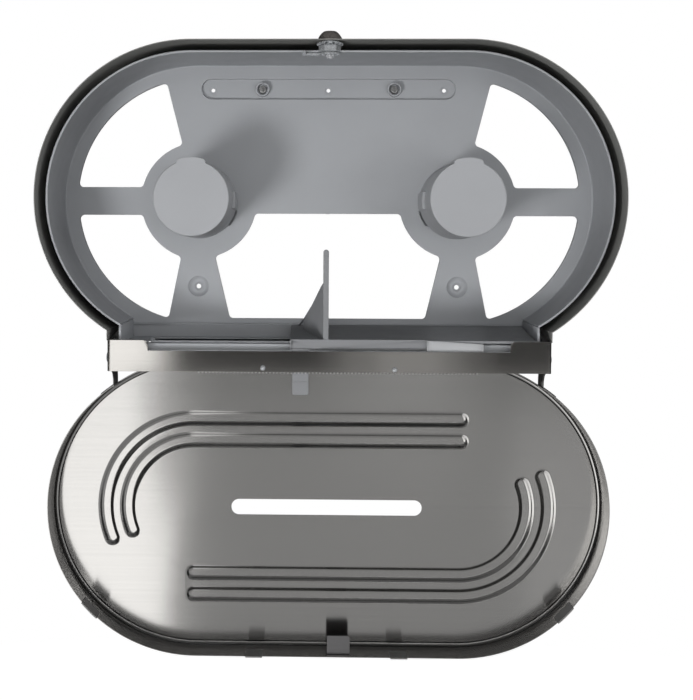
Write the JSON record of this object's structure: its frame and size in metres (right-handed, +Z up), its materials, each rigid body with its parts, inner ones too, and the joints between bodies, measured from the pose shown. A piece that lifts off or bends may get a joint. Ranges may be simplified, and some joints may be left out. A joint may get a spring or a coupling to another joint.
{
  "type": "toilet roll dispenser",
  "caption": "Wall-mounted twin jumbo toilet roll dispenser with a stainless cover hanging open, grey moulded inside, hubs, sliding outlet shutter and cam lock.",
  "frame": {"origin": "middle of the cabinet's stadium outline, on the wall plane at the back", "axes": "+X to the user's right along the long side, +Y into the wall, +Z up"},
  "size_m": [0.53, 0.104, 0.5786],
  "materials": {
    "steel": "brushed, semi mirror",
    "zinc": "bright zinc plate",
    "plastic": "satin grey moulding",
    "plastic_light": "satin light grey moulding",
    "nylon": "natural nylon"
  },
  "bodies": {
    "cabinet": {"cabinet_band": "steel", "panel_left": "plastic", "panel_middle": "plastic", "panel_sill": "plastic", "panel_right": "plastic", "tray_wall": "plastic", "outlet_trough": "plastic", "tear_bar": "steel", "tear_blade": "steel", "blade_rivets": "zinc", "lug_rivets": "zinc", "hinge_pin_left": "zinc", "hinge_pin_right": "zinc", "hinge_washers": "nylon", "boss_screws": "zinc", "lock_housing": "zinc", "lock_retainer": "zinc", "lock_nut": "zinc"},
    "cover": {"cover_face": "steel", "cover_rim": "steel", "hinge_ear_left": "steel", "hinge_ear_right": "steel", "latch_tab": "steel", "corner_clips": "steel", "rim_clips": "steel"},
    "hub_left": {"spindle_left": "plastic"},
    "hub_right": {"spindle_right": "plastic"},
    "lock_cylinder": {"lock_plug": "zinc", "lock_cam": "zinc", "cam_screw": "zinc"},
    "shutter": {"shutter_sled": "plastic_light", "shutter_leaf": "plastic_light", "shutter_fin": "plastic_light", "shutter_tab": "plastic_light"}
  },
  "joints": [
    {"name": "cover_hinge", "type": "hinge", "parent": "cabinet", "child": "cover", "pos_m": [0, -0.078, -0.145], "axis": [-1, 0, 0], "range_deg": [0, 180]},
    {"name": "lock_turn", "type": "hinge", "parent": "cabinet", "child": "lock_cylinder", "pos_m": [0, -0.088, 0.1294], "axis": [0, 0, 1], "range_deg": [0, 90]},
    {"name": "shutter_slide", "type": "slide", "parent": "cabinet", "child": "shutter", "axis": [-1, 0, 0], "range_m": [0, 0.15]},
    {"name": "hub_left_twist", "type": "hinge", "parent": "cabinet", "child": "hub_left", "pos_m": [-0.1238, -0.05, 0], "axis": [0, 1, 0], "range_deg": [0, 26]},
    {"name": "hub_right_twist", "type": "hinge", "parent": "cabinet", "child": "hub_right", "pos_m": [0.1238, -0.05, 0], "axis": [0, -1, 0], "range_deg": [0, 26]}
  ]
}
